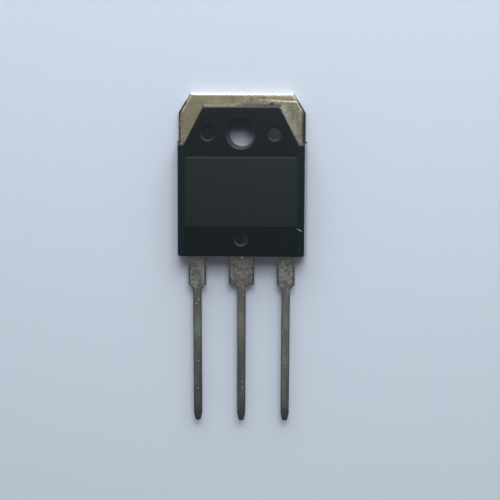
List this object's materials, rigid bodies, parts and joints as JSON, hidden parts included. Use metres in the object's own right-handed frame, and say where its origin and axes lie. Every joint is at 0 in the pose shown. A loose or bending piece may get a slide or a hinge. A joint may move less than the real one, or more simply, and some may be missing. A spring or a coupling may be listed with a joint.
{
  "type": "power transistor",
  "caption": "Flat moulded power transistor body with a bare metal cooling tab, a through mounting hole and flat solder-coated leads in a row.",
  "frame": {"origin": "axis of the mounting hole, at the metal back face", "axes": "+Z out of the front face, along the mounting hole; +Y towards the tab end, away from the leads; +X towards the emitter lead"},
  "size_m": [0.016, 0.0405, 0.0048],
  "materials": {
    "mould_compound": "black filled epoxy, smooth and slightly glossy, with a fine matte marking panel",
    "plated_header": "nickel-plated copper, warm grey, satin, lightly mottled",
    "solder_coat": "dull tinned copper, olive grey, uneven solder skin",
    "die_solder": "dull lead-tin solder",
    "silicon": "polished silicon with a metal pattern",
    "bond_wire": "bright drawn aluminium wire"
  },
  "bodies": {
    "root": {"mould_body": "mould_compound", "heat_spreader": "plated_header", "base_lead": "solder_coat", "emitter_lead": "solder_coat", "die_attach_solder": "die_solder", "silicon_die": "silicon", "base_bond_wire": "bond_wire", "emitter_bond_wire_1": "bond_wire", "emitter_bond_wire_2": "bond_wire"}
  },
  "joints": []
}
